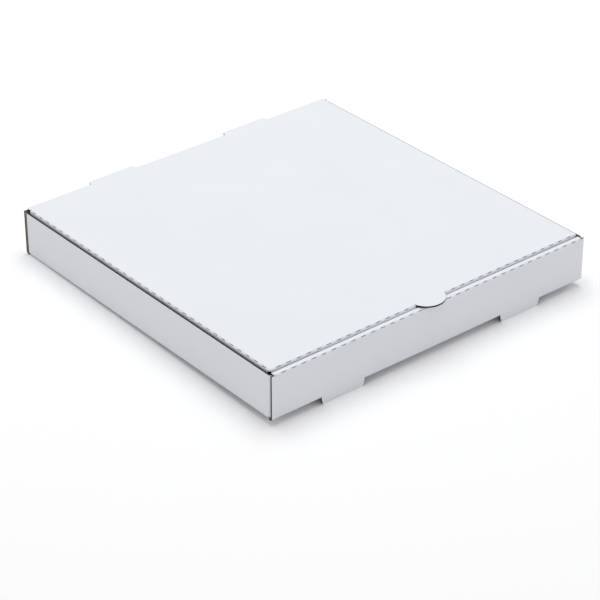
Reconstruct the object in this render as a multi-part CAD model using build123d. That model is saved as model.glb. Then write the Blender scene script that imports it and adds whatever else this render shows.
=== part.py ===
from build123d import *
import os

# Pizza box, folded from one die-cut sheet of white corrugated board, in millimetres.
# X runs to the right, Y to the back, Z up. The origin is under the middle of the box, level with its feet.

# Sheet
board = 1.6               # thickness of the fine-fluted board
crease_inner = 1.0        # inside radius of a creased fold
perforated_inner = 0.2    # inside radius of a perforated fold, which turns sharper
fold_leg = 0.6            # straight start of a flap below its bend
layer_gap = 0.6           # air between two layers that lie against each other
slit_length = 4.8         # one cut of a perforated fold
slit_width = 0.9
slit_depth = 1.0          # a cut stops short of the inner liner
slit_pitch = 10.9         # from one cut to the next along the fold
overrun = 5.0             # how far a cut runs past what it cuts

# Tray
box_width = 364.0         # outside, left to right
box_depth = 364.0         # outside, front to back
wall_height = 44.5        # base underside to the top of the rolled-over front
side_drop = 0.5           # the side walls stop this far below the rolled-over front
front_flap_length = 66.0  # corner flap trapped in the double front wall
rear_flap_length = 46.0   # corner flap standing inside the back wall
flap_corner = 9.0         # rounding of a corner flap's free corners
corner_relief = 0.5       # slit between the base and a wall's bend at each corner

# Front feet, left standing in the plane of the front wall, and the lock tabs behind them
foot_length = 6.0         # below the base
foot_width = 48.0         # at the base
foot_taper = 1.5          # each end of a foot leans in by this much
foot_place = 104.0        # middle of a foot from the middle of the box
foot_corner = 1.2         # rounding of a foot's lower corners
lock_clearance = 1.2      # between a lock tab and the slot it stands in
lock_lift = 0.3           # a lock tab stops this far above the base underside

# Lid
lid_rise = 2.2            # lid's top above the rolled-over front
lid_side_gap = 1.2        # between the lid's side flaps and the side walls
lid_front_gap = 0.4       # between the lid's front fold and the inner front wall
side_flap_height = 39.0   # from the lid's top to a side flap's lower edge
side_flap_front_taper = 16.0
side_flap_rear_taper = 6.0
side_flap_corner = 6.0    # rounding of a side flap's lower corners
flap_end_gap = 1.0        # between a side flap and the bend of the rear corner
tuck_height = 40.0        # from the lid's top to the tuck flap's lower edge
tuck_lean = 4.0           # the tuck flap's lower edge stands back by this much
tuck_taper = 14.0         # each end of the tuck flap leans in by this much
tuck_corner = 10.0        # rounding of the tuck flap's lower corners
hinge_gap = 0.3           # between the back wall and the lid's rounded rear edge

# Tabs that stay flat in the lid's plane when the folds beside them turn down
thumb_chord = 33.0        # half-moon thumb tab, along the lid's front fold
tab_overhang = 5.0        # thumb tab past the front wall, and rear tabs past the back wall
rear_tab_width = 54.0     # at the lid's rear fold
rear_tab_taper = 2.0      # each end of a rear tab leans in by this much
rear_tab_place = 80.0     # middle of a rear tab from the middle of the box
rear_tab_corner = 1.5     # rounding of a rear tab's outer corners
vent_clearance = 0.6      # between a rear tab and the vent that it leaves in the back wall

# Places worked out from the sizes above
crease_outer = crease_inner + board
perforated_outer = perforated_inner + board
half_width = box_width / 2
front_y = -box_depth / 2
back_y = box_depth / 2
base_z = foot_length
floor_z = base_z + board
front_z = base_z + wall_height
side_z = front_z - side_drop
lid_z = front_z + lid_rise
hinge_y = back_y - board / 2
hinge_z = lid_z - board / 2
back_z = lid_z - board - hinge_gap
front_flap_y = front_y + board + layer_gap
inner_front_y = front_flap_y + board + layer_gap + board
rear_flap_y = back_y - board - layer_gap
lid_half = half_width - board - lid_side_gap
lid_front_y = inner_front_y + lid_front_gap


def inset(corners):
    """The same line moved to its left by the board's thickness, corner by corner."""
    runs = [(end - start).normalized() for start, end in zip(corners, corners[1:])]
    lefts = [Vector(-run.Y, run.X) for run in runs]
    before, after = lefts[:1] + lefts, lefts + lefts[-1:]
    return [corner + (m + n) * (board / (1 + m.dot(n))) for corner, m, n in zip(corners, before, after)]


def folded(points, inner_radii):
    """Section of the sheet: a line along its white outer face, thickened to its left by the board."""
    corners = [Vector(*point) for point in points]
    outer = FilletPolyline(*corners, radius=[radius + board for radius in inner_radii])
    inner = FilletPolyline(*inset(corners), radius=inner_radii)
    return make_face([outer, inner, Line(outer @ 0, inner @ 0), Line(outer @ 1, inner @ 1)])


def block(x, y, z):
    """Box between two places on each axis, each given as a pair."""
    low, high = zip(x, y, z)
    size = Vector(*high) - Vector(*low)
    return Pos(*low) * Box(*tuple(size), align=(Align.MIN, Align.MIN, Align.MIN))


def both_sides(shape):
    """The shape and its mirror image across the middle of the box."""
    return [shape, mirror(shape, about=Plane.YZ)]


def slits(fold_length, spared):
    """Cuts of a perforated fold along X, turned half-way between its panels; its spared middle stays whole."""
    count = int(fold_length / slit_pitch)
    cut = Rot(45, 0, 0) * block(
        (-slit_length / 2, slit_length / 2),
        (-slit_width / 2, slit_width / 2),
        (perforated_outer - slit_depth, perforated_outer + overrun),
    )
    places = [(index - (count - 1) / 2) * slit_pitch for index in range(count)]
    return [Pos(place, 0, 0) * cut for place in places if abs(place) >= spared / 2]


def front_to_back():
    """Inner front wall, rolled-over front, outer front wall, base and back wall in one ribbon."""
    section = folded(
        [
            (inner_front_y, floor_z + layer_gap),
            (inner_front_y, front_z),
            (front_y, front_z),
            (front_y, base_z),
            (back_y, base_z),
            (back_y, back_z),
        ],
        [perforated_inner, perforated_inner, crease_inner, crease_inner],
    )
    ribbon = extrude(Plane.YZ * section, amount=half_width, both=True)
    roll_end = half_width - crease_outer - layer_gap
    roll_trim = block(
        (roll_end, half_width + overrun),
        (front_y + board, inner_front_y + overrun),
        (floor_z + layer_gap / 2, front_z + overrun),
    )
    base_trim = block(
        (half_width - crease_outer, half_width + overrun),
        (front_flap_y + crease_outer - corner_relief, rear_flap_y - crease_outer + corner_relief),
        (base_z - overrun, floor_z + layer_gap / 2),
    )
    bend = Pos(0, front_y + perforated_outer, front_z - perforated_outer)
    cuts = [bend * cut for cut in slits(2 * roll_end, 0)]
    return ribbon - both_sides(roll_trim) - both_sides(base_trim) - cuts


def side_to_side():
    """Base and both side walls, between the bends of the corner flaps."""
    section = folded(
        [(-half_width, side_z), (-half_width, base_z), (half_width, base_z), (half_width, side_z)],
        [crease_inner, crease_inner],
    )
    front = front_flap_y + crease_outer
    rear = rear_flap_y - crease_outer
    return Pos(0, rear, 0) * extrude(Plane.XZ * section, amount=rear - front)


def corner_flaps():
    """Right side wall with the flap that each of its ends turns inwards; the front one is cut down."""
    section = folded(
        [
            (half_width - front_flap_length, front_flap_y),
            (half_width, front_flap_y),
            (half_width, rear_flap_y),
            (half_width - rear_flap_length, rear_flap_y),
        ],
        [crease_inner, crease_inner],
    )
    low = floor_z + layer_gap
    flaps = Pos(0, 0, low) * extrude(section, amount=side_z - low)
    under_roll = block(
        (half_width - front_flap_length - overrun, half_width - crease_outer),
        (front_y, inner_front_y),
        (front_z - board - layer_gap, front_z + overrun),
    )
    flaps -= under_roll
    free_ends = flaps.faces().filter_by(Axis.X).sort_by(Axis.X)[:2]
    return fillet(free_ends.edges().filter_by(Axis.Y), flap_corner)


def foot_outline(lower_z, upper_z):
    """Front view of a foot, narrowing downwards, with rounded lower corners."""
    upper = foot_width / 2
    lower = upper - foot_taper
    outline = make_face(
        Polyline((-upper, upper_z), (-upper, base_z), (-lower, lower_z), (lower, lower_z),
                 (upper, base_z), (upper, upper_z), close=True)
    )
    return fillet(outline.vertices().group_by(Axis.Y)[0], foot_corner)


def standing(outline, front):
    """Piece of board in an upright plane, its front face at the given place."""
    return Pos(0, front + board, 0) * extrude(Plane.XZ * outline, amount=board)


def foot():
    """Foot in the plane of the front wall, reaching up into the wall."""
    return standing(foot_outline(0, base_z + crease_outer + board), front_y)


def foot_slot():
    """Room that the foot leaves in the base and in the front bend."""
    width = foot_width / 2
    slot_rear = inner_front_y + lock_clearance
    return block((-width, width), (front_y - overrun, slot_rear), (base_z - overrun, base_z + crease_outer))


def lock_tab():
    """Tab of the inner front wall that stands in a foot's slot and holds the wall down."""
    half = foot_width / 2 - lock_clearance
    outline = make_face(
        Polyline((-half, floor_z + crease_outer), (-half, floor_z), (-half + foot_taper, base_z + lock_lift),
                 (half - foot_taper, base_z + lock_lift), (half, floor_z), (half, floor_z + crease_outer),
                 close=True)
    )
    return standing(outline, inner_front_y - board)


def rear_tab_outline(extra):
    """Plan of a rear tab from the hinge line, with extra room all round for its vent."""
    fold = rear_tab_width / 2 + extra
    tip = fold - rear_tab_taper
    reach = board / 2 + tab_overhang + extra
    outline = make_face(Polyline((-fold, 0), (fold, 0), (tip, reach), (-tip, reach), close=True))
    return fillet(outline.vertices().group_by(Axis.Y)[-1], rear_tab_corner)


def vent():
    """Opening below the hinge line of the back wall, the shape of the rear tab cut out of it."""
    hanging = mirror(rear_tab_outline(vent_clearance), about=Plane.XZ)
    return Pos(0, back_y + overrun, hinge_z) * extrude(Plane.XZ * hanging, amount=board + 2 * overrun)


def make_tray():
    tray = front_to_back() + side_to_side() + both_sides(corner_flaps())
    for place in (-foot_place, foot_place):
        tray = tray - Pos(place, 0, 0) * foot_slot() + Pos(place, 0, 0) * foot() + Pos(place, 0, 0) * lock_tab()
    for place in (-rear_tab_place, rear_tab_place):
        tray -= Pos(place, 0, 0) * vent()
    return tray


def lid_channel():
    """Lid panel with both side folds turned down, and a rounded rear edge on the hinge line."""
    fold_z = lid_z - perforated_outer
    section = folded(
        [(lid_half, fold_z - fold_leg), (lid_half, lid_z), (-lid_half, lid_z), (-lid_half, fold_z - fold_leg)],
        [perforated_inner, perforated_inner],
    )
    front = lid_front_y + perforated_outer
    panel = Pos(0, hinge_y, 0) * extrude(Plane.XZ * section, amount=hinge_y - front)
    rear_trim = block(
        (-half_width, half_width),
        (rear_flap_y - crease_outer - flap_end_gap, back_y),
        (fold_z - overrun, lid_z - board),
    )
    bead = Pos(0, hinge_y, hinge_z) * Rot(0, 90, 0) * Cylinder(board / 2, 2 * (lid_half - perforated_outer))
    return panel - rear_trim + bead


def lid_side_flap():
    """Right side flap, hanging inside the side wall, its ends leaning in."""
    front = lid_front_y + perforated_outer
    rear = rear_flap_y - crease_outer - flap_end_gap
    upper = lid_z - perforated_outer
    lower = lid_z - side_flap_height
    outline = make_face(
        Polyline((front, upper), (front + side_flap_front_taper, lower), (rear - side_flap_rear_taper, lower),
                 (rear, upper), close=True)
    )
    outline = fillet(outline.vertices().group_by(Axis.Y)[0], side_flap_corner)
    return Pos(lid_half - board, 0, 0) * extrude(Plane.YZ * outline, amount=board)


def tuck_flap():
    """Front of the lid panel, folded down behind the inner front wall and leaning back."""
    lower = lid_z - tuck_height
    section = folded(
        [(hinge_y, lid_z), (lid_front_y, lid_z), (lid_front_y + tuck_lean, lower)],
        [perforated_inner],
    )
    half = lid_half - perforated_outer
    flap = extrude(Plane.YZ * section, amount=half, both=True)
    keep = make_face(
        Polyline((-half, lid_z), (half, lid_z), (half, lid_z - perforated_outer), (half - tuck_taper, lower),
                 (tuck_taper - half, lower), (-half, lid_z - perforated_outer), close=True)
    )
    keep = fillet(keep.vertices().group_by(Axis.Y)[0], tuck_corner)
    return flap & Pos(0, back_y, 0) * extrude(Plane.XZ * keep, amount=box_depth)


def half_moon():
    """Thumb tab from the front fold's bend: straight sides across the bend, then an arc past the front wall."""
    reach = lid_front_y - front_y + tab_overhang
    chord = thumb_chord / 2
    arc = ThreePointArc((-chord, 0), (0, -reach), (chord, 0))
    return make_face([arc, Polyline(arc @ 1, (chord, perforated_outer), (-chord, perforated_outer), arc @ 0)])


def thumb_tab():
    """Half-moon that stays in the lid's plane and lies over the rolled-over front."""
    return Pos(0, lid_front_y, lid_z - board) * extrude(half_moon(), amount=board)


def thumb_hole():
    """Opening that the thumb tab leaves in the front fold and in the tuck flap."""
    depth = perforated_outer + tuck_lean + board
    place = Pos(0, lid_front_y, lid_z - perforated_outer)
    return place * extrude(Plane.XZ * half_moon(), amount=depth, both=True)


def lid_corner():
    """Rounded right front corner of the lid, between its front and side bends."""
    place = Pos(lid_half - perforated_outer, lid_front_y + perforated_outer, lid_z - perforated_outer)
    octant = Sphere(perforated_outer, 0, 90, 90, align=(Align.MIN, Align.MIN, Align.MIN))
    return place * Rot(0, 0, -90) * octant


def rear_tab():
    """Tab in the lid's plane that reaches out past the back wall."""
    return Pos(0, hinge_y, lid_z - board) * extrude(rear_tab_outline(0), amount=board)


def lid_slits():
    """Cuts of the lid's front fold on each side of the thumb tab, and of both its side folds."""
    front = lid_front_y + perforated_outer
    rear = rear_flap_y - crease_outer - flap_end_gap
    bend_z = lid_z - perforated_outer
    half = lid_half - perforated_outer
    cuts = [Pos(0, front, bend_z) * cut for cut in slits(2 * half, thumb_chord + 2 * slit_length)]
    right_bend = Pos(half, (front + rear) / 2, bend_z) * Rot(0, 0, 90)
    for cut in slits(rear - front, 0):
        cuts += both_sides(right_bend * cut)
    return cuts


def make_lid():
    lid = tuck_flap() - thumb_hole() + lid_channel() + thumb_tab()
    lid += both_sides(lid_side_flap()) + both_sides(lid_corner())
    for place in (-rear_tab_place, rear_tab_place):
        lid += Pos(place, 0, 0) * rear_tab()
    return lid - lid_slits()


os.makedirs("parts", exist_ok=True)
for name, shape in (("tray", make_tray()), ("lid", make_lid())):
    export_step(shape, f"parts/{name}.step")
    print(name, len(shape.solids()), "solid", round(shape.volume), "cubic mm", shape.bounding_box())
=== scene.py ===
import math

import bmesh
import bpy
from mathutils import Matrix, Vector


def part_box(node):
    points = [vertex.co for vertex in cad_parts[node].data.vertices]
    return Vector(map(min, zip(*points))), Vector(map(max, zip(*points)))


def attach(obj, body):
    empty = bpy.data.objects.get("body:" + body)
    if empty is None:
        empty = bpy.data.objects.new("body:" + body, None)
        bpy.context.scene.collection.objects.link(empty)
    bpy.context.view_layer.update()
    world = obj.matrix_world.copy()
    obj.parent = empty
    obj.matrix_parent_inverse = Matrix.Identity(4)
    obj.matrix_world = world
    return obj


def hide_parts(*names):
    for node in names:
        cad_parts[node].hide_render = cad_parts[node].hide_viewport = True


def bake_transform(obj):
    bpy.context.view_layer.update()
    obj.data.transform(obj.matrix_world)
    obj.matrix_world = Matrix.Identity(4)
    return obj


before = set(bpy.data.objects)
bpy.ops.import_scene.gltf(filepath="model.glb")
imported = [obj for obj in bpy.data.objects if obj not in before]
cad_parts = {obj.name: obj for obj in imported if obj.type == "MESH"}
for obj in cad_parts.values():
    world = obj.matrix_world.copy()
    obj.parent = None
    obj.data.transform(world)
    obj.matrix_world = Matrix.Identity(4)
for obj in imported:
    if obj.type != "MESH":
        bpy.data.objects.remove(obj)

# %% [markdown]
# A take-away pizza box is one die-cut sheet of corrugated board. Nothing is glued: the walls, the lid
# and the flaps are folds of the same sheet, and the front wall is rolled over so that it locks.
# So the scene works like the factory does. It draws the white outer face of the sheet panel by panel,
# spins the folds between the panels, gives the sheet the thickness of board, and at the end opens up
# the cut edges, where the wavy core paper shows. CAD has already fixed every size, in millimetres.

MM = 0.001
X_AXIS, Y_AXIS, Z_AXIS = Vector((1, 0, 0)), Vector((0, 1, 0)), Vector((0, 0, 1))
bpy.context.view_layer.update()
tray_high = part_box("tray")[1] / MM
lid_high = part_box("lid")[1] / MM
scene = bpy.context.scene

# %% [markdown]
# The board is fine-fluted: two flat liners with a wavy paper between them, 1.6 mm in all. A creased
# fold turns in a soft bend; a perforated fold, cut like a dashed line, turns sharper. The scene takes
# the outside places from the CAD boxes and repeats the few sizes that the folds need.

# %% Sizes of the sheet, in millimetres
BOARD = 1.6
CREASE = 2.6                 # outside radius of a creased fold
PERFORATED = 1.8             # outside radius of a perforated fold
LAYER_GAP = 0.6              # air between two layers of board
WALL_HEIGHT = 44.5           # from the base's underside to the top of the rolled-over front
SIDE_DROP = 0.5              # the side walls stop this far below the rolled-over front
HALF_WIDTH = tray_high.x
BACK_Y = tray_high.y
FRONT_Y = -BACK_Y
BACK_Z = tray_high.z         # top of the back wall
LID_Z = lid_high.z           # top of the lid
LID_HALF = lid_high.x
BASE_Z = 6.0                 # underside of the base, above the bottom of the feet
FLOOR_Z = BASE_Z + BOARD
FRONT_Z = BASE_Z + WALL_HEIGHT
SIDE_Z = FRONT_Z - SIDE_DROP
WALL_LOW = BASE_Z + CREASE   # where a wall starts above its bend
FRONT_FLAP_Y = FRONT_Y + BOARD + LAYER_GAP
INNER_FRONT_Y = FRONT_FLAP_Y + BOARD + LAYER_GAP + BOARD
REAR_FLAP_Y = BACK_Y - BOARD - LAYER_GAP
ROLL_END = HALF_WIDTH - CREASE - LAYER_GAP
print("wall height:", WALL_HEIGHT, "width:", round(2 * HALF_WIDTH, 2))

# %% [markdown]
# On the real sheet a panel is a flat stretch between folds, and its outline is the path of a cutting
# rule. It could be a thin box with pieces cut out of it, but that leaves untidy edges. Here it is one
# face with as many corners as its outline has, since the thickness comes later, and its free corners
# are rounded by a vertex bevel, the way the rule is bent round them.

# %% Panels
CORNER_STEPS = 6             # facets in a rounded corner


def new_sheet():
    """An empty sheet that can remember which faces lie next to a cut."""
    sheet = bmesh.new()
    sheet.faces.layers.int.new("near_cut")
    return sheet


def spot(x, y, z):
    """A place given in millimetres, in Blender's metres."""
    return Vector((x, y, z)) * MM


def panel(sheet, outline, rounded=(), radius=0.0):
    """A flat panel from its outline; the corners with the listed numbers are rounded."""
    corners = [sheet.verts.new(spot(*place)) for place in outline]
    sheet.faces.new(corners)
    if rounded:
        bmesh.ops.bevel(
            sheet, geom=[corners[number] for number in rounded], offset=radius * MM,
            segments=CORNER_STEPS, profile=0.5, affect="VERTICES", material=-1,
        )


print("a rounded corner has", CORNER_STEPS, "facets")

# %% [markdown]
# A fold is where a crease or a dashed cut lets the board turn. It could be a bevelled edge, but a line
# of points spun about the middle of its bend gives the exact radius. Where the fold is perforated, the
# faces in the middle of the bend are taken out, and the faces next to them are marked, so that the
# cuts can be told from the sheet's edges later.

# %% Folds and their cuts
STEPS = 9                    # facets in one fold
CUT_SHARE = 1 / 3            # part of a bend's turn that a cut takes out
CUT_LENGTH = 4.8             # one cut of a perforated fold
CUT_PITCH = 10.9             # from one cut to the next


def fold(sheet, line, centre, axis, degrees, cuts=(), steps=STEPS):
    """A fold: a line of points spun about the middle of its bend, with cuts along its middle."""
    before = set(sheet.faces)
    points = [sheet.verts.new(spot(*place)) for place in line]
    edges = [sheet.edges.new(pair) for pair in zip(points, points[1:])]
    middle, turn = spot(*centre), math.radians(degrees)
    bmesh.ops.spin(sheet, geom=points + edges, cent=middle, axis=axis, angle=turn, steps=steps)
    outward = points[0].co - middle
    halfway = Matrix.Rotation(turn / 2, 3, axis) @ (outward - axis * outward.dot(axis))
    near_cut = sheet.faces.layers.int["near_cut"]
    gone = []
    for face in [face for face in sheet.faces if face not in before]:
        face.smooth = True
        place = face.calc_center_median()
        along = place.dot(axis) / MM
        arm = place - middle
        arm -= axis * arm.dot(axis)
        in_cut = any(low < along < high for low, high in cuts)
        if in_cut and arm.angle(halfway) < abs(turn) * CUT_SHARE / 2:
            gone.append(face)
    for face in gone:
        for edge in face.edges:
            for neighbour in edge.link_faces:
                neighbour[near_cut] = 1
    bmesh.ops.delete(sheet, geom=gone, context="FACES")


def cut_places(low, high, spared=0.0):
    """Where each cut of a perforated fold starts and ends, spread evenly about the fold's middle."""
    count = int((high - low) / CUT_PITCH)
    first = (low + high) / 2 - (count - 1) / 2 * CUT_PITCH
    middles = [first + number * CUT_PITCH for number in range(count)]
    return [(m - CUT_LENGTH / 2, m + CUT_LENGTH / 2) for m in middles if abs(m) >= spared / 2]


def stations(start, cuts, end):
    """The places along a fold where its outline has a corner: both ends and the ends of each cut."""
    return [start, *(place for cut in cuts for place in cut), end]


print("a quarter turn has", STEPS, "facets")

# %% [markdown]
# The base is the middle of the tray. Two slots interrupt its front fold: there the front wall's feet
# stay in the plane of the wall when the base folds away from it, and the lock tabs of the inner wall
# stand in the same slots. Both halves could be drawn, but the box is the same on both sides, so only
# the right half is drawn, and a mirror makes the left one later.

# %% Base and its front fold
FOOT_PLACE, FOOT_WIDTH = 104.0, 48.0     # middle of a foot, from the middle of the box
LOCK_CLEARANCE = 1.2         # between a lock tab and the slot that it stands in
RELIEF = 0.5                 # slit between the base and a wall's bend
FOOT_IN, FOOT_OUT = FOOT_PLACE - FOOT_WIDTH / 2, FOOT_PLACE + FOOT_WIDTH / 2
SLOT_Y = INNER_FRONT_Y + LOCK_CLEARANCE
SIDE_FRONT, SIDE_REAR = FRONT_FLAP_Y + CREASE, REAR_FLAP_Y - CREASE
fold_x, fold_y, rear_fold_y = HALF_WIDTH - CREASE, FRONT_Y + CREASE, BACK_Y - CREASE
tray_sheet = new_sheet()
base_plan = [
    (0, fold_y), (FOOT_IN, fold_y), (FOOT_IN, SLOT_Y), (FOOT_OUT, SLOT_Y), (FOOT_OUT, fold_y),
    (HALF_WIDTH, fold_y), (HALF_WIDTH, SIDE_FRONT - RELIEF), (fold_x, SIDE_FRONT - RELIEF),
    (fold_x, SIDE_FRONT), (fold_x, SIDE_REAR), (fold_x, SIDE_REAR + RELIEF),
    (HALF_WIDTH, SIDE_REAR + RELIEF), (HALF_WIDTH, rear_fold_y), (0, rear_fold_y),
]
panel(tray_sheet, [(x, y, BASE_Z) for x, y in base_plan])
for start, end in ((0, FOOT_IN), (FOOT_OUT, HALF_WIDTH)):
    line = [(start, fold_y, BASE_Z), (end, fold_y, BASE_Z)]
    fold(tray_sheet, line, (0, fold_y, WALL_LOW), X_AXIS, -90)
print("base:", len(tray_sheet.faces), "faces")

# %% [markdown]
# The front wall carries the feet below and the roll-over above. Wall and feet could be panels of their
# own, but on the real sheet the feet are left standing in the wall's plane, so one face holds them
# all. The roll-over stops short of the corners, so the wall shows a bare cut end there.

# %% Front wall with its feet
FOOT_TAPER, FOOT_CORNER = 1.5, 1.2
END_DROP = 0.4               # the wall's bare end stops this far below the roll-over
roll_z, end_z = FRONT_Z - PERFORATED, FRONT_Z - END_DROP
roll_cuts = [cut for cut in cut_places(-ROLL_END, ROLL_END) if cut[0] > 0]
roll_places = stations(0, roll_cuts, ROLL_END)
front_view = [
    (0, WALL_LOW), (FOOT_IN, WALL_LOW), (FOOT_IN, BASE_Z), (FOOT_IN + FOOT_TAPER, 0),
    (FOOT_OUT - FOOT_TAPER, 0), (FOOT_OUT, BASE_Z), (FOOT_OUT, WALL_LOW), (HALF_WIDTH, WALL_LOW),
    (HALF_WIDTH, end_z), (ROLL_END, end_z), *((x, roll_z) for x in reversed(roll_places)),
]
panel(tray_sheet, [(x, FRONT_Y, z) for x, z in front_view], (3, 4), FOOT_CORNER)
print("with the front wall:", len(tray_sheet.faces), "faces")

# %% [markdown]
# The roll-over is the strip that lies on top of the front: a perforated fold, a narrow flat, a second
# fold and the inner wall, which goes down behind the trapped corner flaps and locks into the base with
# two tabs. One wide spin could carry it over the top, but real board stays flat between its folds, so
# panels and folds take turns, in the order in which the paper goes round.

# %% Roll-over and inner front wall
LOCK_LIFT = 0.3              # a lock tab stops this far above the base's underside
strip_front, strip_rear = FRONT_Y + PERFORATED, INNER_FRONT_Y - PERFORATED
line = [(x, FRONT_Y, roll_z) for x in roll_places]
fold(tray_sheet, line, (0, strip_front, roll_z), X_AXIS, -90, roll_cuts)
strip_plan = [*((x, strip_front) for x in roll_places), (ROLL_END, strip_rear), (0, strip_rear)]
panel(tray_sheet, [(x, y, FRONT_Z) for x, y in strip_plan])
line = [(0, strip_rear, FRONT_Z), (ROLL_END, strip_rear, FRONT_Z)]
fold(tray_sheet, line, (0, strip_rear, roll_z), X_AXIS, -90)

inner_low, lock_z = FLOOR_Z + LAYER_GAP, BASE_Z + LOCK_LIFT
lock_in, lock_out = FOOT_IN + LOCK_CLEARANCE, FOOT_OUT - LOCK_CLEARANCE
inner_view = [
    (0, roll_z), (ROLL_END, roll_z), (ROLL_END, inner_low), (lock_out, inner_low), (lock_out, FLOOR_Z),
    (lock_out - FOOT_TAPER, lock_z), (lock_in + FOOT_TAPER, lock_z), (lock_in, FLOOR_Z),
    (lock_in, inner_low), (0, inner_low),
]
panel(tray_sheet, [(x, INNER_FRONT_Y, z) for x, z in inner_view])
print("with the double front:", len(tray_sheet.faces), "faces;", len(roll_cuts), "cuts in half the roll")

# %% [markdown]
# The back wall ends at the hinge fold. The two rear tabs of the lid are cut out of it, so it keeps two
# vents with the tabs' outline, and the steam of the pizza leaves through them. A Boolean could cut
# them out, but they reach the wall's upper edge, so its outline simply runs down and round each one.

# %% Back wall with a vent
VENT_PLACE, VENT_CORNER = 80.0, 1.5
VENT_TOP, VENT_FOOT = 27.26, 25.6        # half of a vent's width, at its top and its foot
VENT_DEPTH = 6.4             # below the hinge line
HINGE_Y, HINGE_Z = BACK_Y - BOARD / 2, LID_Z - BOARD / 2
vent_z = HINGE_Z - VENT_DEPTH
line = [(0, rear_fold_y, BASE_Z), (HALF_WIDTH, rear_fold_y, BASE_Z)]
fold(tray_sheet, line, (0, rear_fold_y, WALL_LOW), X_AXIS, 90)
back_view = [
    (0, WALL_LOW), (HALF_WIDTH, WALL_LOW), (HALF_WIDTH, BACK_Z), (VENT_PLACE + VENT_TOP, BACK_Z),
    (VENT_PLACE + VENT_FOOT, vent_z), (VENT_PLACE - VENT_FOOT, vent_z),
    (VENT_PLACE - VENT_TOP, BACK_Z), (0, BACK_Z),
]
panel(tray_sheet, [(x, BACK_Y, z) for x, z in back_view], (4, 5), VENT_CORNER)
print("with the back wall:", len(tray_sheet.faces), "faces")

# %% [markdown]
# Each side wall turns a flap inwards at both ends. The front flap is trapped inside the double front
# wall and is cut down to fit under the strip; the rear flap stands inside the back wall. They could be
# boards of their own, but they are one sheet with the wall, so each fold is spun from the wall's end.

# %% Side wall and its corner flaps
FRONT_FLAP, REAR_FLAP, FLAP_CORNER = 66.0, 46.0, 9.0   # length of each flap, and their rounding
FRONT_FLAP_END, REAR_FLAP_END = HALF_WIDTH - FRONT_FLAP, HALF_WIDTH - REAR_FLAP
flap_z = FRONT_Z - BOARD - LAYER_GAP
line = [(fold_x, SIDE_FRONT, BASE_Z), (fold_x, SIDE_REAR, BASE_Z)]
fold(tray_sheet, line, (fold_x, 0, WALL_LOW), Y_AXIS, -90)
side_view = [
    (SIDE_FRONT, WALL_LOW), (SIDE_REAR, WALL_LOW), (SIDE_REAR, SIDE_Z), (SIDE_FRONT, SIDE_Z),
    (SIDE_FRONT, flap_z),
]
panel(tray_sheet, [(HALF_WIDTH, y, z) for y, z in side_view])
for corner_y, flap_y, flap_end, levels, degrees in (
    (SIDE_FRONT, FRONT_FLAP_Y, FRONT_FLAP_END, (WALL_LOW, flap_z, SIDE_Z), -90),
    (SIDE_REAR, REAR_FLAP_Y, REAR_FLAP_END, (WALL_LOW, SIDE_Z), 90),
):
    line = [(HALF_WIDTH, corner_y, z) for z in levels]
    fold(tray_sheet, line, (fold_x, corner_y, 0), Z_AXIS, degrees)
    foot, top = levels[:2]
    flap_view = [(fold_x, foot), (flap_end, foot), (flap_end, top), (fold_x, top)]
    panel(tray_sheet, [(x, flap_y, z) for x, z in flap_view], (1, 2), FLAP_CORNER)
print("right half of the tray:", len(tray_sheet.faces), "faces")

# %% [markdown]
# The lid panel has three folds, which turn down, and two kinds of tab, which stay flat. The half-moon
# thumb tab is cut free of the tuck flap and lies over the front. Its arc could be a bevelled corner,
# but it is part of a circle, so its points come from one formula, which the hole that it leaves in the
# tuck flap uses again.

# %% Folds and thumb tab of the lid
LID_FRONT_GAP = 0.4          # between the lid's front fold and the inner front wall
FLAP_END_GAP = 1.0           # between a side flap and the bend of the rear corner
THUMB_HALF, ARC_STEPS = 16.5, 12         # half of the thumb tab's width, and facets in half its arc
SPARED = 2 * (THUMB_HALF + CUT_LENGTH)   # stretch of the front fold that has no cuts
LID_FRONT_Y = INNER_FRONT_Y + LID_FRONT_GAP
lid_fold_x, lid_fold_y = LID_HALF - PERFORATED, LID_FRONT_Y + PERFORATED
lid_fold_z = LID_Z - PERFORATED
flap_rear = SIDE_REAR - FLAP_END_GAP
tab_y = lid_high.y                       # tips of the rear tabs; the thumb tab comes as far forward
reach = LID_FRONT_Y + tab_y
arc_radius = (THUMB_HALF ** 2 + reach ** 2) / (2 * reach)
arc_turn = math.asin(THUMB_HALF / arc_radius)


def half_moon():
    """Half of the thumb tab's arc from its tip: how far to the side, and how far past the fold."""
    turns = [arc_turn * step / ARC_STEPS for step in range(ARC_STEPS + 1)]
    drop = arc_radius - reach
    return [(arc_radius * math.sin(turn), arc_radius * math.cos(turn) - drop) for turn in turns]


front_cuts = [cut for cut in cut_places(-lid_fold_x, lid_fold_x, SPARED) if cut[0] > 0]
side_cuts = cut_places(lid_fold_y, flap_rear)
front_places = stations(THUMB_HALF, front_cuts, lid_fold_x)
side_places = stations(lid_fold_y, side_cuts, flap_rear)
print("thumb tab reaches", round(reach, 2), "mm past the fold;", len(front_cuts), "cuts on its right")

# %% [markdown]
# The rear tabs stay in the lid's plane as well, past the hinge line. The panel could be pieced together
# from a rectangle and its tabs, but a die cuts it in one path. So its outline is walked once: from the
# tip of the thumb tab along the front fold, up the side fold, and back along the hinge line.

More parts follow.
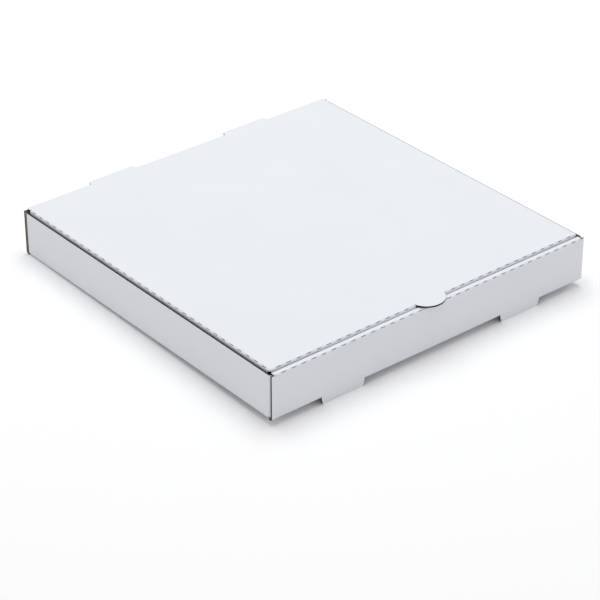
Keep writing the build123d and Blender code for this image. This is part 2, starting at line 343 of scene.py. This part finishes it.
# %% Outline of the lid panel
REAR_TAB_FOLD, REAR_TAB_TIP = 27.0, 25.0   # half of a rear tab's width, at its fold and its tip
REAR_TAB_CORNER = 1.5
EAR_INSET = 0.4              # the lid's rear corners stop this far inside its side flaps
ear_x, ear_y = LID_HALF - EAR_INSET, flap_rear + RELIEF
lid_plan = [(x, LID_FRONT_Y - y) for x, y in half_moon()]
lid_plan += [(x, lid_fold_y) for x in front_places]
lid_plan += [(lid_fold_x, y) for y in side_places[1:]]
lid_plan += [(lid_fold_x, ear_y), (ear_x, ear_y), (ear_x, HINGE_Y), (lid_fold_x, HINGE_Y)]
lid_plan += [
    (VENT_PLACE + REAR_TAB_FOLD, HINGE_Y), (VENT_PLACE + REAR_TAB_TIP, tab_y),
    (VENT_PLACE - REAR_TAB_TIP, tab_y), (VENT_PLACE - REAR_TAB_FOLD, HINGE_Y), (0, HINGE_Y),
]
tab_corners = (len(lid_plan) - 4, len(lid_plan) - 3)
lid_sheet = new_sheet()
panel(lid_sheet, [(x, y, LID_Z) for x, y in lid_plan], tab_corners, REAR_TAB_CORNER)
print("lid panel with", len(lid_plan), "corners")

# %% [markdown]
# The side flaps hang straight down inside the side walls. Where the front fold meets a side fold the
# paper stretches round the corner. A patch could be drawn there by hand, but the end of the side fold,
# spun about the upright axis, closes the corner with the same facets.

# %% Side flap and rounded corner
SIDE_FLAP_HEIGHT, SIDE_FLAP_CORNER = 39.0, 6.0
FRONT_TAPER, REAR_TAPER = 16.0, 6.0      # how far the ends of a side flap lean in
SIDE_FLAP_LOW = LID_Z - SIDE_FLAP_HEIGHT
low_front, low_rear = lid_fold_y + FRONT_TAPER, flap_rear - REAR_TAPER
line = [(lid_fold_x, y, LID_Z) for y in side_places]
fold(lid_sheet, line, (lid_fold_x, 0, lid_fold_z), Y_AXIS, 90, side_cuts)
flap_view = [(y, lid_fold_z) for y in side_places]
flap_view += [(low_rear, SIDE_FLAP_LOW), (low_front, SIDE_FLAP_LOW)]
flap_corners = (len(flap_view) - 2, len(flap_view) - 1)
panel(lid_sheet, [(LID_HALF, y, z) for y, z in flap_view], flap_corners, SIDE_FLAP_CORNER)

quarter = [math.radians(90) * step / STEPS for step in range(STEPS + 1)]
line = [
    (lid_fold_x + PERFORATED * math.sin(turn), lid_fold_y, lid_fold_z + PERFORATED * math.cos(turn))
    for turn in quarter
]
fold(lid_sheet, line, (lid_fold_x, lid_fold_y, 0), Z_AXIS, -90)
print("with the side flap:", len(lid_sheet.faces), "faces;", len(side_cuts), "cuts in its fold")

# %% [markdown]
# The tuck flap goes down behind the inner front wall and leans back a little. A straight flap could be
# turned into place, but here its fold just turns a few degrees further, as one more facet, and the
# flap's outline is drawn on the leaning plane, with the half-moon that the thumb tab leaves in it.

# %% Tuck flap
TUCK_HEIGHT, TUCK_LEAN, TUCK_TAPER, TUCK_CORNER = 40.0, 4.0, 14.0, 10.0
TUCK_LOW = LID_Z - TUCK_HEIGHT
lean = math.atan2(TUCK_LEAN, TUCK_HEIGHT)
line = [(x, lid_fold_y, LID_Z) for x in front_places]
fold(lid_sheet, line, (0, lid_fold_y, lid_fold_z), X_AXIS, 90, front_cuts)
line = [(x, LID_FRONT_Y, lid_fold_z) for x in front_places]
fold(lid_sheet, line, (0, lid_fold_y, lid_fold_z), X_AXIS, math.degrees(lean), steps=1)
tuck_y = lid_fold_y - PERFORATED * math.cos(lean)
tuck_z = lid_fold_z - PERFORATED * math.sin(lean)
tuck_view = [(x, tuck_z) for x in front_places]
tuck_view += [(lid_fold_x - TUCK_TAPER, TUCK_LOW), (0, TUCK_LOW)]
tuck_view += [(x, lid_fold_z - depth) for x, depth in half_moon()[:-1]]
panel(
    lid_sheet, [(x, tuck_y + (tuck_z - z) * math.tan(lean), z) for x, z in tuck_view],
    (len(front_places),), TUCK_CORNER,
)
print("right half of the lid:", len(lid_sheet.faces), "faces")

# %% [markdown]
# Mirroring each half and merging the points that meet gives one open surface: the white face of the
# folded sheet. A Mirror modifier could do it, but the normals have to be right before the sheet gets
# its thickness. The corrugation runs from left to right across the whole blank, so a coordinate across
# the flutes is kept for the material: Z where the board faces the front or back, and Y elsewhere.

# %% Both halves, facing outwards
MERGE = 0.02                 # points closer than this are one
UPRIGHT = 0.7                # a normal with more than this along Y faces the front or back


def whole(sheet, down):
    """Mirrors the right half, joins panels and folds, and turns the white face outwards."""
    everything = sheet.verts[:] + sheet.edges[:] + sheet.faces[:]
    bmesh.ops.mirror(sheet, geom=everything, axis="X", merge_dist=MERGE * MM)
    bmesh.ops.remove_doubles(sheet, verts=sheet.verts[:], dist=MERGE * MM)
    bmesh.ops.dissolve_degenerate(sheet, edges=sheet.edges[:], dist=MERGE * MM / 2)
    bmesh.ops.recalc_face_normals(sheet, faces=sheet.faces[:])
    largest = max(sheet.faces, key=lambda face: face.calc_area())
    if (largest.normal.z < 0) != down:
        bmesh.ops.reverse_faces(sheet, faces=sheet.faces[:])
    layer = sheet.loops.layers.uv.new("flutes")
    for face in sheet.faces:
        upright = abs(face.normal.y) > UPRIGHT
        for loop in face.loops:
            x, y, z = loop.vert.co
            loop[layer].uv = (x, z if upright else y)
    crowded = [edge for edge in sheet.edges if len(edge.link_faces) > 2]
    print(len(sheet.faces), "faces,", len(crowded), "edges shared by more than two")


whole(tray_sheet, down=True)
whole(lid_sheet, down=False)

# %% [markdown]
# A material is a small graph of nodes. It could be wired by hand in the Shader Editor; in a script, one
# helper that adds a node, sets it and links it keeps the graph readable. Colours are written as sRGB
# codes, as a colour picker shows them, and turned into the linear values that shaders use.

# %% Helpers for materials


def paint(code):
    """Colour from an sRGB hex code, in the linear values that shaders use."""
    parts = [int(code[place:place + 2], 16) / 255 for place in (1, 3, 5)]
    return [p / 12.92 if p <= 0.04045 else ((p + 0.055) / 1.055) ** 2.4 for p in parts] + [1.0]


def add(tree, kind, settings=None, **inputs):
    """Adds a node, sets its options, and gives each input a value or a link; i0 is input number 0."""
    node = tree.nodes.new(kind)
    for name, value in (settings or {}).items():
        setattr(node, name, value)
    for name, value in inputs.items():
        socket = node.inputs[int(name[1:]) if name[1:].isdigit() else name.replace("_", " ")]
        if isinstance(value, bpy.types.NodeSocket):
            tree.links.new(value, socket)
        else:
            socket.default_value = value
    return node


def new_material(name):
    """An empty material and its node tree."""
    material = bpy.data.materials.new(name)
    material.use_nodes = True
    material.node_tree.nodes.clear()
    return material, material.node_tree


print("middle grey in linear values:", round(paint("#808080")[0], 3))

# %% [markdown]
# Paper isn't one flat colour. Fibres and wide clouds mix two close tones, the fibres raise the surface
# a little, and the flutes below show through as faint ribs. A picture of paper could be wrapped round
# the box, but noise that is worked out from sizes in millimetres has no seams and stays sharp close
# up. Real fibres are a few hundredths of a millimetre wide; here they are coarser, so that they show.

# %% Paper
FLUTE_PITCH = 3.2            # from one flute to the next
CLOUD = 60.0                 # width of the clouds in a sheet of paper
SHEEN = 0.3                  # specular level of matte paper


def paper(name, light, dark, roughness, fibre_mm, stretch, fibre_depth, flute_depth):
    """Paper: two close tones mixed by stretched fibres, with a fine bump and a trace of the flutes."""
    material, tree = new_material(name)
    places = add(tree, "ShaderNodeTexCoord").outputs["Object"]
    grain = add(tree, "ShaderNodeMapping", i0=places, Scale=(1 / stretch, 1.0, 1.0)).outputs[0]
    fibres = add(
        tree, "ShaderNodeTexNoise", Vector=grain, Scale=1 / (fibre_mm * MM), Detail=4.0, Roughness=0.6
    ).outputs[0]
    clouds = add(
        tree, "ShaderNodeTexNoise", Vector=places, Scale=1 / (CLOUD * MM), Detail=2.0
    ).outputs[0]
    both = add(tree, "ShaderNodeMath", {"operation": "ADD"}, i0=fibres, i1=clouds).outputs[0]
    share = add(tree, "ShaderNodeMath", {"operation": "MULTIPLY"}, i0=both, i1=0.5).outputs[0]
    tone = add(
        tree, "ShaderNodeMix", {"data_type": "RGBA"}, i0=share, i6=paint(dark), i7=paint(light)
    ).outputs[2]
    blank = add(tree, "ShaderNodeUVMap", {"uv_map": "flutes"}).outputs[0]
    across = add(tree, "ShaderNodeSeparateXYZ", i0=blank).outputs["Y"]
    turns = 2 * math.pi / (FLUTE_PITCH * MM)
    waves = add(tree, "ShaderNodeMath", {"operation": "MULTIPLY"}, i0=across, i1=turns).outputs[0]
    ribs = add(tree, "ShaderNodeMath", {"operation": "SINE"}, i0=waves).outputs[0]
    washboard = add(
        tree, "ShaderNodeBump", Strength=1.0, Distance=flute_depth * MM, Height=ribs
    ).outputs[0]
    bump = add(
        tree, "ShaderNodeBump", Strength=1.0, Distance=fibre_depth * MM, Height=fibres, Normal=washboard
    ).outputs[0]
    shader = add(
        tree, "ShaderNodeBsdfPrincipled", Base_Color=tone, Roughness=roughness, Specular_IOR_Level=SHEEN,
        Normal=bump,
    ).outputs[0]
    add(tree, "ShaderNodeOutputMaterial", Surface=shader)
    return material


print("flutes every", FLUTE_PITCH, "mm")

# %% [markdown]
# Four papers cover the board. The outer liner is white clay-coated paper, and the inner liner is brown
# kraft with long fibres. The raw cut and the space inside the flutes are kraft too. They could share
# one brown and leave the rest to the light, but little light gets in between the liners, so painted
# shade stands in for it. The cut is darker than kraft, partly as painted shade, and the inside of the
# flutes is nearly black, all of it painted shade. This keeps the cut edges as crisp as they are on real
# board.

# %% Papers of the board
# A raw edge has short fibres with no direction, and no flutes below it
RAW = {"fibre_mm": 0.3, "stretch": 1.0, "fibre_depth": 0.02, "flute_depth": 0.0}
# Clay-coated white liner, smoothed between rollers: matte, even and a little cool
white_liner = paper(
    "clay_coated_white_liner", "#E8EBEF", "#E0E3E8", roughness=0.6, fibre_mm=0.6, stretch=3.0,
    fibre_depth=0.006, flute_depth=0.012,
)
# Kraft liner, unbleached and uncoated: brown, dull and cloudy, with long fibres
kraft_liner = paper(
    "brown_kraft_liner", "#A6927B", "#8D7A63", roughness=0.75, fibre_mm=0.5, stretch=6.0,
    fibre_depth=0.012, flute_depth=0.015,
)
# Raw edge of the kraft papers, crushed by the die: rough and with no direction. Its dark tone is partly
# the kraft's own and partly painted shade of the open flutes
cut_kraft = paper("cut_kraft_edge", "#5A524A", "#443D37", roughness=0.85, **RAW)
# Painted shade deep between the liners: kraft drawn nearly black, because little light comes back out
flute_shadow = paper("painted_shade_inside_the_flutes", "#1C1917", "#141211", roughness=0.9, **RAW)
PAPERS = (white_liner, kraft_liner, cut_kraft, flute_shadow)
WHITE, KRAFT, CUT, SHADOW = range(4)
print("papers:", [material.name for material in PAPERS])

# %% [markdown]
# Real board is white outside, kraft inside and raw at the cut. A bmesh operator could thicken the sheet
# as well, but the Solidify modifier also hands the inner face and the rim to the next two material
# slots. It grows to the inside of the white face, so the outside keeps its size.

# %% Board of both sheets
INWARDS = -1                 # side of the white face on which the board lies


def new_piece(shape, name, materials):
    """Object at the origin from a finished bmesh, which is used up."""
    mesh = bpy.data.meshes.new(name)
    shape.to_mesh(mesh)
    shape.free()
    for material in materials:
        mesh.materials.append(material)
    piece = bpy.data.objects.new(name, mesh)
    scene.collection.objects.link(piece)
    return piece


def board(sheet, name):
    """Object of real thickness from an open sheet."""
    piece = new_piece(sheet, name, PAPERS)
    thick = piece.modifiers.new("board", "SOLIDIFY")
    thick.thickness = BOARD * MM
    thick.offset = INWARDS
    thick.use_even_offset = True
    thick.material_offset = KRAFT
    thick.material_offset_rim = CUT
    graph = bpy.context.evaluated_depsgraph_get()
    solid = bpy.data.meshes.new_from_object(
        piece.evaluated_get(graph), preserve_all_data_layers=True, depsgraph=graph
    )
    piece.modifiers.clear()
    piece.data = solid
    solid.name = name
    print(name, "has", len(solid.polygons), "faces")
    return piece


tray_board = board(tray_sheet, "tray_board")
lid_board = board(lid_sheet, "lid_board")

# %% [markdown]
# A cut edge of corrugated board isn't solid. The two liners show as thin brown lines, since even the
# white one is white on its face only, with the open flutes between them. A dark stripe could be
# painted there, but an edge that is modelled holds up close. So every rim is inset by the thickness of
# a liner, and its middle is pushed in and given the nearly black painted shade of the flutes. The rear
# edge of the lid is a fold, so its rim stays closed.

# %% Open cut edges
LINER = 0.24                 # thickness of a liner
GROOVE = 1.1                 # how deep the open flutes are modelled
GROOVE_TAPER = LINER / 20    # each side of the groove leans in by this much
AT_HINGE = 0.1               # a rim whose middle is this close to the hinge line lies on it
FACING = 0.9                 # a normal with more than this along Y faces straight back


def open_edges(piece, is_fold):
    """Sinks the middle of every cut edge, apart from the folds and the cuts of perforated lines."""
    shape = bmesh.new()
    shape.from_mesh(piece.data)
    near_cut = shape.faces.layers.int["near_cut"]
    cut_faces = [face for face in shape.faces if face.material_index == CUT]
    rims = []
    for face in cut_faces:
        if face[near_cut] or is_fold(face):
            face.material_index = WHITE
        else:
            rims.append(face)
    inset = bmesh.ops.inset_region(
        shape, faces=rims, thickness=LINER * MM, use_boundary=True, use_even_offset=True
    )
    for face in inset["faces"]:
        face.material_index = CUT
    bmesh.ops.inset_region(
        shape, faces=rims, thickness=GROOVE_TAPER * MM, depth=-GROOVE * MM, use_boundary=True,
        use_even_offset=True,
    )
    # The sunk middle takes the flutes' painted shade: kraft drawn nearly black
    for face in rims:
        face.material_index = SHADOW
    shape.to_mesh(piece.data)
    shape.free()
    print(piece.name, "has", len(rims), "open stretches of cut edge")


def on_hinge(face):
    """True on the lid's rear edge between the tabs, which is the hinge fold."""
    place = face.calc_center_median() / MM
    on_line = abs(place.y - HINGE_Y) < AT_HINGE and abs(place.x) < lid_fold_x
    return on_line and face.normal.y > FACING


open_edges(tray_board, lambda face: False)
open_edges(lid_board, on_hinge)

# %% [markdown]
# Seen from the side the hinge fold is round, like the edge of a magazine. A bevel could round the rim,
# but spinning the lid's upper rear edge half a turn about the hinge line makes a nose that has its
# middle exactly there, so it turns freely above the back wall.

# %% Rounded hinge edge of the lid
NOSE_STEPS = 8               # facets in the half turn
FINE_MERGE = MERGE / 10      # for shapes with small facets
ON_LINE = 0.001              # points as close as this to the hinge line's Y belong to the rim


def round_hinge(piece):
    """Swaps the flat rim on the hinge line for half a cylinder, and closes its ends."""
    shape = bmesh.new()
    shape.from_mesh(piece.data)
    rim = [face for face in shape.faces if face.material_index == WHITE and on_hinge(face)]
    top = (LID_Z - MERGE) * MM
    edges = [edge for face in rim for edge in face.edges]
    upper = [edge for edge in edges if all(vert.co.z > top for vert in edge.verts)]
    bmesh.ops.delete(shape, geom=rim, context="FACES_ONLY")
    before = set(shape.faces)
    points = list(dict.fromkeys(vert for edge in upper for vert in edge.verts))
    bmesh.ops.spin(
        shape, geom=points + upper, cent=spot(0, HINGE_Y, HINGE_Z), axis=X_AXIS, angle=-math.pi,
        steps=NOSE_STEPS,
    )
    nose = [face for face in shape.faces if face not in before]
    around = list(dict.fromkeys(vert for face in nose for vert in face.verts))
    rim_points = [vert for vert in shape.verts if abs(vert.co.y - HINGE_Y * MM) < ON_LINE * MM]
    seam = list(dict.fromkeys(around + rim_points))
    bmesh.ops.remove_doubles(shape, verts=seam, dist=FINE_MERGE * MM)
    bmesh.ops.holes_fill(shape, edges=[edge for edge in shape.edges if edge.is_boundary], sides=0)
    bmesh.ops.recalc_face_normals(shape, faces=shape.faces[:])
    for face in [face for face in shape.faces if face not in before]:
        face.material_index = WHITE
        face.smooth = len(face.verts) == 4
    gaps = [edge for edge in shape.edges if edge.is_boundary]
    shape.to_mesh(piece.data)
    shape.free()
    print("hinge nose in", len(rim), "stretches;", len(gaps), "open edges left")


round_hinge(lid_board)

# %% [markdown]
# Between the liners runs the core paper, pressed into waves. A row of half cylinders could stand for
# it, but real core is one ribbon. So a sine line is drawn along the cut, extruded into the board and
# given the thickness of paper. Its front edge is raw kraft, and its sides, which lie in shade, get the
# nearly black painted shade.

# %% Wavy core paper
WAVE_STEPS = 12              # stretches in one wave
CORE = 0.2                   # thickness of the core paper
CORE_SETBACK = 0.05          # the core paper ends this far inside the cut
WAVE = (BOARD - 2 * LINER - CORE) / 2


def flutes(shape, start, end, across, into):
    """Core paper along one cut edge: a sine wave between two places, drawn into the board."""
    start, run = spot(*start), spot(*end) - spot(*start)
    count = round(run.length / (FLUTE_PITCH * MM)) * WAVE_STEPS
    setback = into * CORE_SETBACK * MM
    points = []
    for step in range(count + 1):
        swing = WAVE * MM * math.sin(2 * math.pi * step / WAVE_STEPS)
        points.append(shape.verts.new(start + run * step / count + across * swing + setback))
    edges = [shape.edges.new(pair) for pair in zip(points, points[1:])]
    deep = bmesh.ops.extrude_edge_only(shape, edges=edges)["geom"]
    moved = [item for item in deep if isinstance(item, bmesh.types.BMVert)]
    bmesh.ops.translate(shape, verts=moved, vec=into * GROOVE * MM)


def core_paper(name, runs):
    """Object with the core paper of several cut edges, on both sides of the box."""
    shape = bmesh.new()
    for run in runs:
        flutes(shape, *run)
    bmesh.ops.solidify(shape, geom=shape.faces[:], thickness=CORE * MM)
    everything = shape.verts[:] + shape.edges[:] + shape.faces[:]
    bmesh.ops.mirror(shape, geom=everything, axis="X", merge_dist=0)
    bmesh.ops.recalc_face_normals(shape, faces=shape.faces[:])
    shape.loops.layers.uv.new("flutes")
    for face in shape.faces:
        # Narrow front edges are raw kraft; the ribbon's sides get the painted shade of the flutes
        is_edge = face.calc_area() < CORE * GROOVE * MM ** 2 / 2
        face.material_index = 0 if is_edge else 1
        face.smooth = not is_edge
    piece = new_piece(shape, name, (cut_kraft, flute_shadow))
    print(name, "has", len(piece.data.polygons), "faces")
    return piece


print("core paper swings", round(WAVE, 2), "mm to each side")

# %% [markdown]
# The flutes run from left to right across the blank, so they open only at cuts that cross them. All
# such cuts could get a ribbon; here the ones that show most do: the tops of the side walls and of the
# rear corner flaps, the ends of the front, back and inner front walls, and the lower edges of the
# lid's side flaps. Each run has a start, an end, the way across the board and the way into it.

# %% Core paper of the tray and the lid
half = BOARD / 2
wall_mid, front_mid, back_mid = HALF_WIDTH - half, FRONT_Y + half, BACK_Y - half
inner_mid, rear_mid, lid_mid = INNER_FRONT_Y - half, REAR_FLAP_Y - half, LID_HALF - half
tray_core = core_paper("tray_core_paper", [
    ((wall_mid, SIDE_FRONT, SIDE_Z), (wall_mid, SIDE_REAR, SIDE_Z), X_AXIS, -Z_AXIS),
    ((HALF_WIDTH, front_mid, WALL_LOW), (HALF_WIDTH, front_mid, end_z), Y_AXIS, -X_AXIS),
    ((HALF_WIDTH, back_mid, WALL_LOW), (HALF_WIDTH, back_mid, BACK_Z), Y_AXIS, -X_AXIS),
    ((ROLL_END, inner_mid, inner_low), (ROLL_END, inner_mid, roll_z), Y_AXIS, -X_AXIS),
    ((fold_x, rear_mid, SIDE_Z), (REAR_FLAP_END + FLAP_CORNER, rear_mid, SIDE_Z), Y_AXIS, -Z_AXIS),
])
core_start, core_end = low_front + SIDE_FLAP_CORNER, low_rear - SIDE_FLAP_CORNER
lid_core = core_paper("lid_core_paper", [
    ((lid_mid, core_start, SIDE_FLAP_LOW), (lid_mid, core_end, SIDE_FLAP_LOW), X_AXIS, Z_AXIS),
])

# %% [markdown]
# The lid and the back wall are one sheet, so the white liner runs on over the hinge fold. CAD leaves a
# hair of air there to let the lid turn. The lid's own edge could be drawn down over it, but would cut
# into the wall when the lid opens. So a narrow band of liner covers it between the rear tabs.

# %% Liner over the hinge fold
BAND = 0.03                  # thickness of the band, and how far it stands out from the fold
BAND_OVERLAP = 0.4           # how far the band runs down the back wall


def hinge_band(name, spans):
    """Band from the back wall round the lid's rear edge, over each span of the fold."""
    shape = bmesh.new()
    shape.loops.layers.uv.new("flutes")
    band_y, band_low = BACK_Y + BAND, BACK_Z - BAND_OVERLAP
    for start, end in spans:
        points = [shape.verts.new(spot(start, band_y, z)) for z in (band_low, HINGE_Z)]
        shape.edges.new(points)
        bmesh.ops.spin(
            shape, geom=[points[1]], cent=spot(start, HINGE_Y, HINGE_Z), axis=X_AXIS,
            angle=math.radians(90), steps=STEPS,
        )
        edges = [edge for edge in shape.edges if not edge.link_faces]
        wide = bmesh.ops.extrude_edge_only(shape, edges=edges)["geom"]
        moved = [item for item in wide if isinstance(item, bmesh.types.BMVert)]
        bmesh.ops.translate(shape, verts=moved, vec=spot(end - start, 0, 0))
    bmesh.ops.remove_doubles(shape, verts=shape.verts[:], dist=FINE_MERGE * MM)
    bmesh.ops.recalc_face_normals(shape, faces=shape.faces[:])
    bmesh.ops.solidify(shape, geom=shape.faces[:], thickness=BAND * MM)
    bmesh.ops.recalc_face_normals(shape, faces=shape.faces[:])
    for face in shape.faces:
        face.smooth = True
    piece = new_piece(shape, name, (white_liner,))
    print(name, "has", len(piece.data.polygons), "faces")
    return piece


tab_in, tab_out = VENT_PLACE - VENT_TOP, VENT_PLACE + VENT_TOP
band = hinge_band(
    "hinge_liner", [(-lid_fold_x, -tab_out), (-tab_in, tab_in), (tab_out, lid_fold_x)]
)

# %% [markdown]
# Each piece but the hinge band is tied to the CAD body that it moves with. The hinge band could ride on
# the lid alone, and real liner is held by both halves, but here the band is tied to neither: its place
# is baked into its points.

# %% Pieces and bodies
for piece, body in ((tray_board, "tray"), (tray_core, "tray"), (lid_board, "lid"), (lid_core, "lid")):
    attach(piece, body)
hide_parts("tray")
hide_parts("lid")
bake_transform(band)

# %% [markdown]
# The box has feet only at its front, so on a flat table it leans back by about one degree. The box
# could be tilted, but then it would leave the frame that it shares with CAD. So the box stays square
# and the floor tilts instead: from under the feet to under the rear fold.

# %% Floor
FLOOR_SIZE = 12.0            # in metres, so that its edges stay out of the picture
foot_rear = FRONT_Y + BOARD
slope = math.atan2(BASE_Z, rear_fold_y - foot_rear)
ground = bmesh.new()
bmesh.ops.create_grid(ground, x_segments=1, y_segments=1, size=FLOOR_SIZE / 2)
bmesh.ops.rotate(ground, verts=ground.verts[:], cent=(0, 0, 0), matrix=Matrix.Rotation(slope, 3, "X"))
bmesh.ops.translate(ground, verts=ground.verts[:], vec=spot(0, 0, -foot_rear * math.tan(slope)))
# Matte background paper: pale, with no highlight
floor_paint, tree = new_material("pale_studio_floor")
shader = add(tree, "ShaderNodeBsdfPrincipled", Base_Color=paint("#FBFBFB"), Roughness=0.9).outputs[0]
add(tree, "ShaderNodeOutputMaterial", Surface=shader)
floor = new_piece(ground, "floor", (floor_paint,))
print("floor leans by", round(math.degrees(slope), 2), "degrees")

# %% [markdown]
# The light is a bright, even studio: a white surround, a large soft light overhead that makes the lid
# the brightest face, and a weak one from the front right that evens out the walls. A single lamp could
# light the box, but its hard shadows would hide the folds.

# %% Light
SURROUND = 0.56
SURROUND_COLOUR = (0.985, 0.965, 1.0, 1.0)   # in linear values, like the colours of the lights


def soft_light(name, place, target, size, power, colour):
    """Square area light that looks at a place, all in metres and watts."""
    lamp = bpy.data.lights.new(name, "AREA")
    lamp.size = size
    lamp.energy = power
    lamp.color = colour
    holder = bpy.data.objects.new(name, lamp)
    holder.location = place
    holder.rotation_euler = (Vector(target) - Vector(place)).to_track_quat("-Z", "Y").to_euler()
    scene.collection.objects.link(holder)


world = bpy.data.worlds.new("studio")
world.use_nodes = True
surround = world.node_tree.nodes["Background"]
surround.inputs["Color"].default_value = SURROUND_COLOUR
surround.inputs["Strength"].default_value = SURROUND
scene.world = world
soft_light(
    "overhead", place=(0.2, 0.4, 2.4), target=(0, 0, 0), size=2.2, power=39.2, colour=(0.97, 1.0, 0.97)
)
soft_light(
    "front_right", place=(1.6, -2.0, 1.3), target=(0, 0, 0.03), size=1.6, power=2.0,
    colour=(1.0, 0.995, 0.985),
)
scene.view_settings.view_transform = "Standard"

# %% [markdown]
# The camera stands where the photograph was taken from: about forty degrees round to the left and
# thirty above the table. It could stand close with a wide lens, but in the photograph parallel edges
# stay nearly parallel, which takes a long lens from far away.

# %% Camera
AZIMUTH, ELEVATION = math.radians(-39.54), math.radians(31.20)
DISTANCE = 2.183             # in metres
LENS_SHARE = 2371.9 / 600    # focal length over the width of the picture
SENSOR = 36.0
FARTHEST = 100.0             # in metres; nothing past this is drawn
AIM_Z, AIM_LEFT, AIM_DOWN = 27.0, 1.19, 49.33   # middle of the picture, from the box's middle
back = Vector((
    math.sin(AZIMUTH) * math.cos(ELEVATION),
    -math.cos(AZIMUTH) * math.cos(ELEVATION),
    math.sin(ELEVATION),
))
right = Vector((math.cos(AZIMUTH), math.sin(AZIMUTH), 0))
up = back.cross(right)
aim = spot(0, 0, AIM_Z) - right * AIM_LEFT * MM - up * AIM_DOWN * MM
lens = bpy.data.cameras.new("camera")
lens.sensor_width = SENSOR
lens.lens = SENSOR * LENS_SHARE
lens.clip_end = FARTHEST
camera = bpy.data.objects.new("camera", lens)
camera.location = aim + back * DISTANCE
camera.rotation_euler = back.to_track_quat("Z", "Y").to_euler()
scene.collection.objects.link(camera)
scene.camera = camera
print("camera at", [round(value, 3) for value in camera.location])
